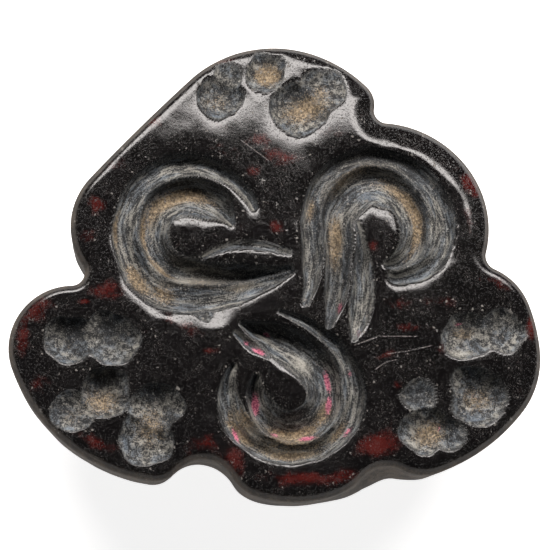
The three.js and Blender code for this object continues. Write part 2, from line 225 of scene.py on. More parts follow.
# Soft patches on the face, by kind: x, y, reaches along and across, turn in degrees, strength
MARKS = ("soil", "pink", "blue", "ash", "red", "dark")
PATCHES = {
    "soil": [
        (-0.5, 15.7, 1, 0.9, 0, 1.2), (2.2, 13.2, 2.2, 1.3, 20, 0.8), (3.4, 14.4, 1, 0.9, 0, 0.6),
        (-2.2, -9.9, 1.6, 1, -40, 0.7), (1, -11.3, 3.6, 1.2, 0, 0.65), (-5.4, 0.1, 2.6, 0.6, 0, 0.5),
        (-2.5, -0.2, 1.5, 0.45, 12, 0.5), (-4.2, 13.6, 1.5, 1.3, 0, 0.45), (-14.6, -4.3, 1, 0.9, 0, 0.3),
        (-12.3, -8.4, 1.6, 1.2, 0, 0.7), (-14.3, -9.4, 1.3, 1, 0, 0.4), (-8.8, -10.2, 1.5, 2, 0, 0.6),
        (14.6, -7.8, 1.7, 1.4, 0, 0.55), (11.1, -10.4, 1.5, 1.2, 30, 0.75), (13.5, -3.1, 1.2, 0.8, 0, 0.6),
        (16.2, -3.2, 1.1, 0.9, 0, 0.3),
    ],
    # Painted shade, on the shaded north halves of the pits and south of the bottom hook's boss.
    "dark": [
        (-14.7, -3.3, 2, 1.1, 0, 1), (-11.7, -3.2, 1.9, 1.1, 0, 1), (-12.6, -6.7, 1.9, 0.9, 0, 0.9),
        (-8.4, -7.9, 1.8, 0.8, 0, 0.9), (-7.4, -9.6, 0.7, 1.6, 0, 0.7), (-3.4, 13.9, 0.6, 1.4, 0, 0.6),
        (1.5, 14.2, 1.3, 0.6, 30, 0.8), (14.6, -2.2, 2.6, 0.7, 0, 1), (4.3, 0.2, 0.35, 3.2, -4, 0.8),
        (2.9, 1.6, 0.5, 2.6, 0, 0.5), (1.9, -9.2, 1.9, 0.8, 0, 0.9), (-14.9, -8.6, 1.2, 0.8, 20, 0.6),
        (10.3, -7.6, 1.3, 1.1, 0, 0.9), (15.2, -6.6, 1.7, 0.7, -20, 0.5), (12.6, -9.8, 0.9, 0.8, 0, 0.7),
        (-3.6, 15.4, 0.8, 0.5, 0, 0.6),
    ],
    # Pale grit, painted light where it lies on the pits' south sides and the rings' bottoms
    "ash": [
        (-5.6, 0.25, 3, 0.55, 0, 1.1), (-2.4, -0.1, 1.6, 0.35, 12, 1), (-8.4, 1.1, 1.2, 0.8, -30, 0.8),
        (3.1, -3, 0.3, 1.6, 0, 0.7), (5.2, -2.4, 0.35, 1.4, 0, 0.8), (1.2, -12.1, 3.2, 0.5, 0, 0.9),
        (-1.6, -10.6, 1.3, 0.8, -30, 0.9), (1.9, -5.7, 1.2, 0.8, -35, 0.9), (4.9, -8.2, 0.4, 1.8, 10, 0.5),
        (8.9, -1, 1.6, 0.35, 25, 0.7), (-14.6, -5.2, 1.1, 0.6, 0, 0.4), (13.4, -4.6, 1.4, 0.5, 0, 0.8),
        (9.9, -11.2, 0.9, 0.4, -30, 0.9),
    ],
    "pink": [
        (3.75, -6.8, 0.25, 0.95, 12, 1), (3.85, -8.5, 0.25, 0.8, -8, 1), (-1.38, -8.5, 0.32, 0.95, 4, 1),
        (-1.25, -4.95, 0.6, 0.26, -30, 1), (-2.1, -4.35, 0.3, 0.2, -30, 0.8),
        (-0.6, -3.5, 0.35, 0.2, -25, 0.9), (-2.8, -10.8, 0.22, 0.7, 20, 0.9),
        (0, -10.7, 0.4, 0.25, -20, 0.7), (2.3, -10.95, 0.7, 0.25, 5, 0.9),
        (5.2, -10.4, 0.22, 0.6, -40, 0.7), (5.35, -6.25, 0.2, 0.35, 0, 0.7), (5.9, -3.6, 0.25, 0.8, 0, 0.5),
        (4.6, -1.9, 0.25, 0.9, 0, 0.8), (13.2, -2.5, 0.3, 0.12, 20, 0.9), (14.5, -7.6, 0.5, 0.4, 0, 0.35),
        (11.8, -10, 0.25, 0.35, 0, 0.6),
    ],
    "blue": [
        (9.3, -10.5, 0.5, 1.2, 0, 0.6), (3.6, 14.8, 1.3, 0.8, -30, 0.5), (-4.1, 12.45, 1.1, 0.25, 0, 1),
        (-0.6, 14.45, 1, 0.2, 0, 1), (0.8, 11.5, 1, 0.25, -35, 1), (2.6, 11.35, 1.3, 0.25, 25, 1),
        (-14.9, -5.6, 1.3, 0.3, 0, 0.9), (-11.6, -5.8, 1.4, 0.3, 0, 0.9), (-14.6, -10.4, 1.1, 0.3, 0, 0.9),
        (-10.6, -11.4, 0.3, 1.2, 10, 0.9), (14.4, -9.3, 1.3, 0.25, 10, 1), (14.2, -9.2, 1.4, 0.3, 10, 0.7),
        (-12.6, -10.2, 1.2, 0.8, -30, 0.5), (16, -3, 1.5, 0.8, 0, 0.4),
    ],
    "red": [
        (-12.7, 5.8, 0.9, 0.8, 0, 1), (-11.9, -0.6, 1.5, 0.9, 10, 1), (-1.7, 8.2, 0.7, 0.5, -20, 0.9),
        (0.2, 9.4, 1.6, 0.8, -10, 0.8), (-3.4, 9.9, 1.3, 0.8, 0, 0.6), (0, 4.1, 0.7, 0.6, 0, 1),
        (-11.7, 8.6, 1, 0.6, 40, 0.7), (-7, -2.9, 2.2, 0.5, -25, 0.8), (14.1, 8, 0.7, 1.6, 30, 0.9),
        (13.9, 5.4, 0.6, 1.2, 10, 0.6), (6.9, 3, 0.6, 0.5, -30, 0.9), (8.6, -1.3, 1, 0.6, 0, 0.8),
        (11.8, -1.2, 1.3, 0.6, 0, 0.7), (9.5, -3, 1.4, 0.5, 0, 0.8), (7.4, -11.4, 1.8, 0.9, 10, 1.3),
        (-3, -12.6, 1, 1.3, 30, 1), (1.8, -13.9, 2.6, 0.6, 0, 1.2), (4.9, -13.6, 1.3, 0.7, 30, 0.9),
        (-4.9, -4.9, 0.7, 0.25, 0, 0.9), (8.6, -7.2, 0.4, 0.5, 0, 0.9), (7.9, -5, 0.8, 0.3, 20, 0.9),
        (-13.6, 3.4, 0.7, 1, 0, 0.6), (-13.6, -1.4, 0.5, 0.25, 0, 1.2), (-17, -1.9, 1.2, 0.9, 30, 1),
        (-17.9, -3.8, 0.5, 1.8, 0, 1), (-12.5, -11.5, 1.6, 0.5, -25, 0.9), (-5, -11.5, 1.4, 0.8, 10, 1),
        (-16.7, -7.2, 0.8, 0.9, 0, 0.7), (18.5, -2.6, 0.4, 1, 0, 1.2), (12, -4.4, 1.5, 0.8, 0, 0.5),
        (16.3, 0.6, 1.3, 0.6, -20, 0.8), (-8.6, 11.8, 1.4, 0.6, 40, 0.6), (-3.3, 11.6, 1.2, 0.4, 0, 0.6),
        (-1, 10.6, 1.8, 0.6, 0, 0.7), (4.1, 11.3, 1.2, 0.5, 0, 0.6), (-3.6, 16.7, 1, 0.3, 10, 0.8),
    ],
}

# Fineness of the surfaces. The rim has four times as many points as a side of the face has cells. A moved
# point goes back where a cell would fall below LEAST_CELL of its size.
FACE_CELLS = 232
OUTLINE_STEP = 0.02
GRID_MIDDLE = (-2.0, -3.5)
GRID_MIDDLE_RADIUS = 15.0
GRID_START = -135.0
SMOOTHING_ROUNDS = 40
LEAST_CELL = 0.15
UNFOLD_ROUNDS = 3
LINE_SAMPLES = 420
LATTICE = 256
FAR = 9.0
BLOCKS = 24
EDGE_RINGS = 6
WALL_RINGS = 7
BACK_RINGS = 6
FLOOR_RINGS = 10
ROOT_RINGS = 5
SIDE_RINGS = 22
FOOT_RINGS = 5
MOUTH_RINGS = 4
BORE_RINGS = 8
HOLE_ROWS = 9
HOLE_COLUMNS = 13


def lattice_noise(u, v, size, seed):
    """Smooth hills from -1 to 1: random heights on a square lattice, size apart, blended by 3t^2 - 2t^3."""
    heights = np.random.default_rng(seed).uniform(-1, 1, (LATTICE, LATTICE))
    i, j = np.floor(u / size).astype(int), np.floor(v / size).astype(int)
    s, t = u / size - i, v / size - j
    s, t = s * s * (3 - 2 * s), t * t * (3 - 2 * t)
    at = lambda a, b: heights[a % LATTICE, b % LATTICE]
    low = at(i, j) * (1 - s) + at(i + 1, j) * s
    high = at(i, j + 1) * (1 - s) + at(i + 1, j + 1) * s
    return low * (1 - t) + high * t


def along(values, share):
    """The value at a share of the way on the Catmull-Rom curve through evenly spaced values."""
    padded = np.array([2 * values[0] - values[1], *values, 2 * values[-1] - values[-2]], float)
    place = np.clip(share, 0, 1) * (len(values) - 1)
    k = np.minimum(place.astype(int), len(values) - 2)
    u = place - k
    a, b, c, d = padded[k], padded[k + 1], padded[k + 2], padded[k + 3]
    return b + u / 2 * (c - a + u * (2 * a - 5 * b + 4 * c - d + u * (3 * b - a - 3 * c + d)))


def smoothstep(low, high, value):
    """0 below low, 1 above high, and 3t^2 - 2t^3 between them."""
    t = np.clip((value - low) / (high - low), 0, 1)
    return t * t * (3 - 2 * t)


def arc(centre, radius, start, end, turn):
    """Even points on a circle from start to end, anticlockwise for turn 1 and clockwise for turn -1."""
    first = math.atan2(start[1] - centre[1], start[0] - centre[0])
    last = math.atan2(end[1] - centre[1], end[0] - centre[0])
    sweep = (turn * (last - first)) % (2 * math.pi)
    count = max(1, math.ceil(sweep * radius / OUTLINE_STEP))
    angle = first + turn * sweep * np.arange(count) / count
    return centre + radius * np.stack([np.cos(angle), np.sin(angle)], 1)


def seal_outline():
    """The closed outline: an arc of every lobe's circle, joined to the next by an arc that touches both."""
    centres = np.array([lobe[:2] for lobe in LOBES])
    radii = np.array([lobe[2] for lobe in LOBES])
    bridges = np.array([lobe[3] for lobe in LOBES])
    hollow = bridges < 0
    span = np.roll(centres, -1, 0) - centres
    apart = np.hypot(*span.T)
    forward = span / apart[:, None]
    left = np.stack([-forward[:, 1], forward[:, 0]], 1)
    reach_a = np.abs(bridges - radii)
    reach_b = np.abs(bridges - np.roll(radii, -1))
    on_line = (reach_a ** 2 - reach_b ** 2 + apart ** 2) / (2 * apart)
    aside = np.sqrt(np.maximum(0, reach_a ** 2 - on_line ** 2)) * np.where(hollow, 1, -1)
    middles = centres + forward * on_line[:, None] + left * aside[:, None]
    side = np.where(hollow, 1, -1)[:, None]
    out_of = lambda c, r: c + side * (middles - c) / np.hypot(*(middles - c).T)[:, None] * r[:, None]
    leave = out_of(centres, radii)
    meet = out_of(np.roll(centres, -1, 0), np.roll(radii, -1))
    pieces = []
    for k in range(len(LOBES)):
        pieces.append(arc(centres[k], radii[k], meet[k - 1], leave[k], -1))
        pieces.append(arc(middles[k], abs(bridges[k]), leave[k], meet[k], 1 if hollow[k] else -1))
    return np.concatenate(pieces)[::-1]


def travelled(points):
    """The length of the line up to each of its points."""
    return np.concatenate([[0], np.cumsum(np.hypot(*np.diff(points, axis=0).T))])


def even_loop(points, count, start):
    """A closed line's points at equal steps of its length, from the point nearest the polar angle start."""
    angle = np.degrees(np.arctan2(points[:, 1], points[:, 0]))
    points = np.roll(points, -int(np.argmin(np.abs(angle - start))), 0)
    closed = np.concatenate([points, points[:1]])
    length = travelled(closed)
    steps = np.arange(count) * length[-1] / count
    return np.stack([np.interp(steps, length, closed[:, k]) for k in (0, 1)], 1)


def outward(loop):
    """Unit normals of an anticlockwise loop: the chord between a point's neighbours, turned right."""
    chord = np.roll(loop, -1, 0) - np.roll(loop, 1, 0)
    return np.stack([chord[:, 1], -chord[:, 0]], 1) / np.hypot(*chord.T)[:, None]


def bend(a, b, c, share):
    """The quadratic curve (1-t)^2 a + 2t(1-t) b + t^2 c."""
    t = share[:, None]
    return (1 - t) ** 2 * np.array(a) + 2 * t * (1 - t) * np.array(b) + t * t * np.array(c)


def even_line(points):
    """An open line's points at equal steps of its length."""
    length = travelled(points)
    steps = np.linspace(0, length[-1], LINE_SAMPLES)
    return np.stack([np.interp(steps, length, points[:, k]) for k in (0, 1)], 1)


def hook_line(ring, start, end, radii, run, tail):
    """A ring whose radius changes on the way round, then a bend that runs on to the tail's end."""
    share = np.linspace(0, 1, LINE_SAMPLES)
    angle = np.radians(start + (end - start) * share)
    turn = np.array(ring) + along(radii, share)[:, None] * np.stack([np.cos(angle), np.sin(angle)], 1)
    heading = (turn[-1] - turn[-2]) / np.hypot(*(turn[-1] - turn[-2]))
    return even_line(np.concatenate([turn, bend(turn[-1], turn[-1] + heading * run, tail, share)[1:]]))


def groove_lines():
    """Every groove as its centre line, half-widths and depth, by name."""
    share = np.linspace(0, 1, LINE_SAMPLES)
    hooks = {name: (hook_line(*row[:6]), row[6], row[7]) for name, row in HOOKS.items()}
    fine = {name: (even_line(bend(*row[:3], share)), row[3], row[4]) for name, row in FINE_GROOVES.items()}
    return {**hooks, **fine}


def beside(line, x, y):
    """Every point's way along a line, distance right of it and beyond an end, and the line's length."""
    step = np.hypot(*(line[1] - line[0]))
    heading = np.gradient(line, axis=0)
    heading /= np.hypot(*heading.T)[:, None]
    k = np.argmin((x[:, None] - line[:, 0]) ** 2 + (y[:, None] - line[:, 1]) ** 2, axis=1)
    dx, dy = x - line[k, 0], y - line[k, 1]
    ahead = dx * heading[k, 0] + dy * heading[k, 1]
    right = dx * heading[k, 1] - dy * heading[k, 0]
    travel = k * step + ahead
    length = (len(line) - 1) * step
    beyond = np.maximum(-travel, 0) + np.maximum(travel - length, 0)
    return np.clip(travel, 0, length), right, beyond, length


def soft_max(a, b):
    """The greater of two depths, rounded off where they are within BLEND of each other and both are cut."""
    near = np.maximum(BLEND - np.abs(a - b), 0) / BLEND
    return np.maximum(a, b) + near ** 2 * BLEND / 4 * smoothstep(0, BLEND, np.minimum(a, b))


def warped(x, y):
    """Points moved by a fraction of a millimetre by smooth noise, so that lips aren't quite true."""
    return x + WARP * lattice_noise(x, y, 1.1, 11), y + WARP * lattice_noise(x, y, 1.1, 13)


def near_groove(row, k, u, v):
    """Which points are near a groove, their way, distance to the right, share off and width, its length."""
    line, widths, _ = row
    reach = max(widths) + 4 * LIP_REACH
    near = np.flatnonzero((u > line[:, 0].min() - reach) & (u < line[:, 0].max() + reach)
                          & (v > line[:, 1].min() - reach) & (v < line[:, 1].max() + reach))
    travel, right, beyond, length = beside(line, u[near], v[near])
    width = along(widths, travel / length)
    width *= 1 + WIDTH_WANDER * lattice_noise(travel, FAR * k + 0 * travel, 1.5, 20)
    off = np.hypot(right, beyond) * np.where(right < 0, -1, 1) / width
    return near, travel, right, off, width, length


def pit_rim(k, px, py, radius, u, v):
    """A pit's distance and its uneven radius in each point's direction, seen from its middle."""
    turn = np.arctan2(v - py, u - px)
    wide = radius * (1 + PIT_WARP * lattice_noise(1.4 * np.cos(turn) + 7 * k, 1.4 * np.sin(turn), 0.9, 31))
    return np.hypot(u - px, v - py), wide, turn


def snapped(x, y, cell):
    """The grid with each point that is closer to a lip than SNAP cells moved onto it."""
    shape = x.shape
    x, y, cell = x.ravel().copy(), y.ravel().copy(), cell.ravel()
    u, v = warped(x, y)
    best = np.full(x.size, SNAP) * cell
    move = np.zeros((2, x.size))
    lips = []
    for k, row in enumerate(groove_lines().values()):
        near, travel, _, off, width, length = near_groove(row, k, u, v)
        line = row[0]
        step = length / (len(line) - 1)
        foot = np.clip(travel / step, 0, len(line) - 1).astype(int)
        away = np.stack([u[near] - line[foot, 0], v[near] - line[foot, 1]])
        away /= np.maximum(np.hypot(*away), 1e-6)
        lips.append((near, (np.abs(off) - 1) * width, away))
    everything = np.arange(x.size)
    for k, (px, py, radius, _) in enumerate(PITS + CHIPS):
        far, wide, turn = pit_rim(k, px, py, radius, u, v)
        lips.append((everything, far - wide, np.stack([np.cos(turn), np.sin(turn)])))
    nearest = np.full(x.size, FAR)
    for near, gap, _ in lips:
        nearest[near] = np.minimum(nearest[near], gap)
    for near, gap, away in lips:
        mine = (np.abs(gap) < best[near]) & (gap <= nearest[near] + 1e-9)
        where = near[mine]
        best[where] = np.abs(gap[mine])
        move[:, where] = -away[:, mine] * gap[mine]
    return (x + move[0]).reshape(shape), (y + move[1]).reshape(shape)


def groove_depth(name, deepest, travel, right, off, width):
    """A groove's depth, 1 - v^p on each side of its deepest line, with tool marks, and how full it is."""
    fullness = np.clip(width / FULL_DEPTH_WIDTH, 0, 1)
    lean = GROOVE_LEAN if name in HOOKS else 0.0
    outer = np.clip((off - lean) / (1 - lean), 0, 1) ** OUTER_WALL_POWER
    inner = np.clip((lean - off) / (1 + lean), 0, 1) ** INNER_WALL_POWER
    depth = (deepest - LIP_DROP) * fullness * (1 - outer - inner)
    scrape = lattice_noise(right, travel / 9, 0.34, 21) + 0.6 * lattice_noise(right, travel / 5, 0.17, 22)
    return depth + np.minimum(depth, TOOL_MARK) * scrape, fullness


def pit_depth(share, far, wide, x, y):
    """A pit's depth: the bowl (1 - v^2)^p, with a gritty floor."""
    deepest = PIT_DEPTH * share - min(LIP_DROP, 0.4 * share)
    depth = deepest * np.clip(1 - (far / wide) ** 2, 0, 1) ** PIT_POWER
    rough = lattice_noise(x, y, 0.55, 32) + 0.7 * lattice_noise(x, y, 0.26, 33)
    return depth + np.minimum(depth, GRIT) * rough


def uncut_height(x, y, inside):
    """The face before the carving: the crown less the rolled rim s(sqrt(d^2 + w^2) - w), and slight waves."""
    turn = (np.degrees(np.arctan2(y, x)) % 360) / 360
    reach = along(ROLL_REACH + ROLL_REACH[:1], turn)
    slope = along(ROLL_SLOPE + ROLL_SLOPE[:1], turn)
    roll = slope * (np.hypot(np.maximum(reach - inside, 0), ROLL_START) - ROLL_START)
    waves = UNDULATION * (lattice_noise(x, y, 2.6, 41) + 0.3 * lattice_noise(x, y, 0.8, 42))
    return FACE_HEIGHT - (x * x + y * y) / (2 * CROWN_RADIUS) - roll + waves * smoothstep(0, 1, inside)


def carved_face(x, y, inside):
    """The face at points that lie inside mm within the rim: its height, and what its finish depends on.

    Height is that of the uncut face less the soft drop at the lips and the deepest of the cuts. The drop
    fades with the distance from a lip by e^(-d/s), and a tint falls off from its middle by e^(-d^2).
    """
    size = x.shape
    x, y, inside = x.ravel(), y.ravel(), inside.ravel()
    u, v = warped(x, y)
    worn = 1 + sum(more * np.exp(-((x - px) ** 2 + (y - py) ** 2) / reach ** 2)
                   for px, py, reach, more in WORN_LIPS)
    drop = LIP_DROP * worn
    soft = LIP_REACH * worn * (1 + LIP_WANDER * lattice_noise(x, y, 1.3, 15))
    cut, lip, rim_gap = np.zeros(x.size), np.zeros(x.size), np.full(x.size, FAR)
    grain = np.zeros((x.size, 3))
    marks = {kind: np.zeros(x.size) for kind in MARKS}
    for k, (name, row) in enumerate(groove_lines().items()):
        near, travel, right, off, width, length = near_groove(row, k, u, v)
        here, fullness = groove_depth(name, row[2], travel, right, off, width)
        past_lip = (np.abs(off) - 1) * width
        rim_gap[near] = np.minimum(rim_gap[near], past_lip)
        sunk = fullness * drop[near] * np.exp(-np.maximum(past_lip, 0) / soft[near])
        lip[near] = np.maximum(lip[near], sunk)
        mine = here > cut[near]
        grain[near[mine]] = np.stack([travel, right, 0 * right], 1)[mine]
        cut[near] = soft_max(cut[near], here)
        for kind, rows in GROOVE_TINTS.get(name, {}).items():
            for middle, run, across, spread, strength in rows:
                far = ((travel / length - middle) * length / run) ** 2 + ((off - across) / spread) ** 2
                marks[kind][near] = np.maximum(marks[kind][near], strength * np.exp(-far))
    for k, (px, py, radius, share) in enumerate(PITS + CHIPS):
        far, wide, _ = pit_rim(k, px, py, radius, u, v)
        here = pit_depth(share, far, wide, x, y)
        rim_gap = np.minimum(rim_gap, far - wide)
        lip = np.maximum(lip, PIT_LIP_SHARE * LIP_DROP * np.exp(-np.maximum(far - wide, 0) / soft))
        mine = here > cut
        grain[mine] = np.stack([PIT_GRAIN[0] * u, PIT_GRAIN[1] * v, 0 * far], 1)[mine]
        cut = soft_max(cut, here)
    for kind, rows in PATCHES.items():
        for px, py, run, spread, turn, strength in rows:
            c, s = math.cos(math.radians(turn)), math.sin(math.radians(turn))
            far = (((x - px) * c + (y - py) * s) / run) ** 2 + (((y - py) * c - (x - px) * s) / spread) ** 2
            marks[kind] = np.maximum(marks[kind], strength * np.exp(-far))
    height = uncut_height(x, y, inside) - lip - cut
    fields = {"cut": smoothstep(0.03, -CUT_FADE, rim_gap), "face": np.ones(x.size), "grain": grain, **marks,
              "rim": np.exp(-np.maximum(rim_gap, 0) / CRUMBLE_REACH)}
    return height.reshape(size), fields


def face_grid(rim):
    """A square grid drawn onto the face.

    A corner at share s of the way from the middle to the square's side goes to s((1-s) C + s P), with P the
    rim point at the same share of the way round and C on a circle in its direction. The inner points are then
    averaged with their neighbours many times, by Winslow's weights, which unfold cells.
    """
    rim = rim - GRID_MIDDLE
    n = FACE_CELLS
    a, b = np.meshgrid(np.linspace(-1, 1, n + 1), np.linspace(-1, 1, n + 1), indexing="ij")
    share = np.maximum(np.abs(a), np.abs(b))
    u, v = a / np.where(share == 0, 1, share), b / np.where(share == 0, 1, share)
    edge = 1 - 1e-9
    turn = np.select([v <= -edge, u >= edge, v >= edge], [(u + 1) / 8, 0.25 + (v + 1) / 8, 0.5 + (1 - u) / 8],
                     0.75 + (1 - v) / 8)
    place = turn * len(rim)
    k = np.floor(place + 1e-6).astype(int)
    part = (place - k)[..., None]
    point = rim[k % len(rim)] * (1 - part) + rim[(k + 1) % len(rim)] * part
    circle = GRID_MIDDLE_RADIUS * point / np.hypot(point[..., 0], point[..., 1])[..., None]
    grid = share[..., None] * ((1 - share[..., None]) * circle + share[..., None] * point)
    for _ in range(SMOOTHING_ROUNDS):
        down, up, left, right = grid[:-2, 1:-1], grid[2:, 1:-1], grid[1:-1, :-2], grid[1:-1, 2:]
        corners = grid[2:, 2:] - grid[2:, :-2] - grid[:-2, 2:] + grid[:-2, :-2]
        wide, tall = right - left, up - down
        pairs = ((wide, wide), (tall, wide), (tall, tall))
        rows, skew, columns = ((p * q).sum(-1, keepdims=True) / 4 for p, q in pairs)
        pull = rows * (down + up) + columns * (left + right) - skew / 2 * corners
        grid[1:-1, 1:-1] = pull / (2 * (rows + columns))
    return grid + GRID_MIDDLE


def cell_corners(grid):
    """The smallest of the cross products at the four corners of every cell of a grid."""
    a, b, c, d = grid[:-1, :-1], grid[1:, :-1], grid[1:, 1:], grid[:-1, 1:]
    cross = lambda o, p, q: (p - o)[..., 0] * (q - o)[..., 1] - (p - o)[..., 1] * (q - o)[..., 0]
    return np.minimum.reduce([cross(a, b, d), cross(b, c, a), cross(c, d, b), cross(d, a, c)])


def unfolded(grid, moved):
    """The moved grid, with the points of cells that nearly fold over put back where they were."""
    for _ in range(UNFOLD_ROUNDS):
        least = cell_corners(moved) < LEAST_CELL * cell_corners(grid)
        back = np.zeros(grid.shape[:2], bool)
        for rows in (slice(None, -1), slice(1, None)):
            for columns in (slice(None, -1), slice(1, None)):
                back[rows, columns] |= least
        moved = np.where(back[..., None], grid, moved)
    return moved


def nearest_distance(x, y, loop):
    """The distance of every point from the nearest point of a loop, a block of points at a time."""
    flat_x, flat_y = x.ravel(), y.ravel()
    blocks = np.array_split(np.arange(flat_x.size), BLOCKS)
    found = [np.sqrt(((flat_x[k, None] - loop[:, 0]) ** 2 + (flat_y[k, None] - loop[:, 1]) ** 2).min(1))
             for k in blocks]
    return np.concatenate(found).reshape(x.shape)


def linked(name, data):
    """A new object in the scene."""
    made = bpy.data.objects.new(name, data)
    bpy.context.scene.collection.objects.link(made)
    return made


class Skin:
    """Collects the points and faces of one closed surface, and the fields that its finish reads."""

    def __init__(self):
        self.points, self.quads, self.triangles, self.fields, self.count = [], [], [], [], 0

    def add(self, flat, z, fields=None):
        """Adds points by place and height, and gives their numbers. Without fields they are plain wall."""
        x, y, z = np.broadcast_arrays(flat[..., 0], flat[..., 1], z)
        self.points.append(np.stack([x.ravel(), y.ravel(), z.ravel()], 1))
        self.fields.append({"wall": np.ones(x.size)} if fields is None else fields)
        numbers = self.count + np.arange(x.size).reshape(x.shape)
        self.count += x.size
        return numbers

    def sheet(self, numbers, keep=None):
        """Quads between neighbours of a grid of point numbers. keep says which cells are wanted."""
        cells = np.stack([numbers[:-1, :-1], numbers[1:, :-1], numbers[1:, 1:], numbers[:-1, 1:]], -1)
        self.quads.append(cells.reshape(-1, 4) if keep is None else cells[keep])

    def rings(self, numbers, keep=None):
        """Quads between closed loops of point numbers, each loop below or within the one before it."""
        self.sheet(np.concatenate([numbers, numbers[:, :1]], 1), keep)

    def halve(self, loop, fewer):
        """Triangles between a loop and the next one, which has half as many points."""
        a, b, c = loop[0::2], loop[1::2], np.roll(loop[0::2], -1)
        d, e = fewer, np.roll(fewer, -1)
        self.triangles += [np.stack(t, 1) for t in ((a, d, b), (b, d, e), (b, e, c))]

    def fan(self, loop, tip):
        """Triangles from a loop to the one point that closes it."""
        self.triangles.append(np.stack([loop, np.full(len(loop), tip), np.roll(loop, -1)], 1))

    def field(self, name, width):
        """A field over all points, 0 where the points were added without it."""
        blank = lambda points: np.zeros((len(points), width))
        parts = [np.reshape(given[name], (-1, width)) if name in given else blank(points)
                 for points, given in zip(self.points, self.fields)]
        return np.concatenate(parts).ravel()

    def build(self, name):
        """The object in metres, with its fields as attributes."""
        mesh = bpy.data.meshes.new(name)
        faces = np.concatenate(self.quads).tolist() + np.concatenate(self.triangles).tolist()
        mesh.from_pydata((np.concatenate(self.points) * MM).tolist(), [], faces)
        mesh.shade_smooth()
        for field in ("cut", *MARKS, "rim", "face", "wall"):
            mesh.attributes.new(field, "FLOAT", "POINT").data.foreach_set("value", self.field(field, 1))
        grain = mesh.attributes.new("grain", "FLOAT_VECTOR", "POINT")
        grain.data.foreach_set("vector", self.field("grain", 3))
        return linked(name, mesh)


def grid_border(numbers):
    """The point numbers round the edge of a square grid, anticlockwise from its first corner."""
    return np.concatenate([numbers[:-1, 0], numbers[-1, :-1], numbers[:0:-1, -1], numbers[0, :0:-1]])


def carve_face(skin, rim, normal):
    """The face and its rounded edge: z is the carved height less E(1 - sqrt(1 - (1 - i/E)^2)) at inset i."""
    grid = face_grid(rim - FACE_EDGE_ROUND * normal)
    side = np.hypot(*np.gradient(grid, axis=0).transpose(2, 0, 1))
    cell = np.minimum(side, np.hypot(*np.gradient(grid, axis=1).transpose(2, 0, 1)))
    cell[[0, -1]] = cell[:, [0, -1]] = 0
    grid = unfolded(grid, np.stack(snapped(grid[..., 0], grid[..., 1], cell), -1))
    x, y = grid[..., 0], grid[..., 1]
    height, fields = carved_face(x, y, nearest_distance(x, y, rim))
    numbers = skin.add(grid, height, fields)
    skin.sheet(numbers)
    angle = np.linspace(0, math.pi / 2, EDGE_RINGS + 1)[1:, None]
    inset = FACE_EDGE_ROUND * (1 - np.sin(angle))
    edge = rim - inset[..., None] * normal
    height, fields = carved_face(edge[..., 0], edge[..., 1], inset + 0 * edge[..., 0])
    height = height - FACE_EDGE_ROUND * (1 - np.cos(angle))
    fields["wall"] = smoothstep(0.2, 0.9, np.broadcast_to(np.sin(angle), edge.shape[:2]).ravel())
    loops = skin.add(edge, height, fields)
    skin.rings(np.concatenate([grid_border(numbers)[None], loops]))
    return loops[-1], height[-1]


def plate_wall(skin, loop, top, rim, normal):
    """The wall below the face's edge: inset and height go evenly from edge to back, less the flare."""
    share = np.linspace(0, 1, WALL_RINGS + 1)[1:, None]
    flare = sum(far * np.exp(-((rim[:, 0] - x) ** 2 + (rim[:, 1] - y) ** 2) / reach ** 2)
                for x, y, reach, far in FLARES)
    low = LUG_HEIGHT + BACK_EDGE_ROUND
    height = top * (1 - share) + low * share
    wobble = EDGE_WOBBLE * (lattice_noise(rim[:, 0] + height, rim[:, 1] - height, 2.2, 51)
                            + 0.4 * lattice_noise(rim[:, 0] - height, rim[:, 1] + height, 0.9, 52))
    inset = WALL_TAPER * share - flare * smoothstep(0, 1, share) + wobble * np.sin(math.pi * share / 2)
    wall = rim - inset[..., None] * normal
    loops = skin.add(wall, height)
    skin.rings(np.concatenate([loop[None], loops]))
    return loops[-1], inset[-1]


def plate_back(skin, loop, rim, normal, inset):
    """The rounded lower edge, and the back that falls from it to the lug's root by the square of the way."""
    angle = np.linspace(0, math.pi / 2, BACK_RINGS + 1)[1:, None]
    away = inset + BACK_EDGE_ROUND * (1 - np.cos(angle))
    edge = rim - away[..., None] * normal
    height = LUG_HEIGHT + BACK_EDGE_ROUND * (1 - np.sin(angle))
    loops = skin.add(edge, height)
    skin.halve(loop, loops[0])
    skin.rings(loops)
    root = lug_loop(len(rim), LUG_ROOT)
    share = np.linspace(1, 0, FLOOR_RINGS + 1)[1:, None, None]
    back = edge[-1] * share + root * (1 - share)
    height = LUG_HEIGHT - BACK_SINK * (1 - share[..., 0] ** 2) + 0 * back[..., 0]
    waves = lattice_noise(back[..., 0], back[..., 1], 3.0, 61) * np.sin(math.pi * share[..., 0])
    height = height + UNDULATION * waves
    below = skin.add(back, height)
    skin.rings(np.concatenate([loops[-1:], below]))
    return below[-1]


def lug_loop(count, grow):
    """The lug's rounded oblong |x/w|^p + |y/l|^p = 1, grown by some mm, its points at equal steps."""
    angle = np.linspace(0, 2 * math.pi, LINE_SAMPLES * 4, endpoint=False)
    c, s = np.cos(angle), np.sin(angle)
    squared = lambda value: np.sign(value) * np.abs(value) ** (2 / LUG_SQUARENESS)
    shape = np.stack([squared(c) * (LUG_WIDTH / 2 + grow), squared(s) * (LUG_LENGTH / 2 + grow)], 1)
    return even_loop(shape, count, GRID_START)


def lug_side(y):
    """How far the lug's side stands from its middle at y: w (1 - |y/l|^p)^(1/p)."""
    return LUG_WIDTH / 2 * (1 - np.abs(2 * y / LUG_LENGTH) ** LUG_SQUARENESS) ** (1 / LUG_SQUARENESS)


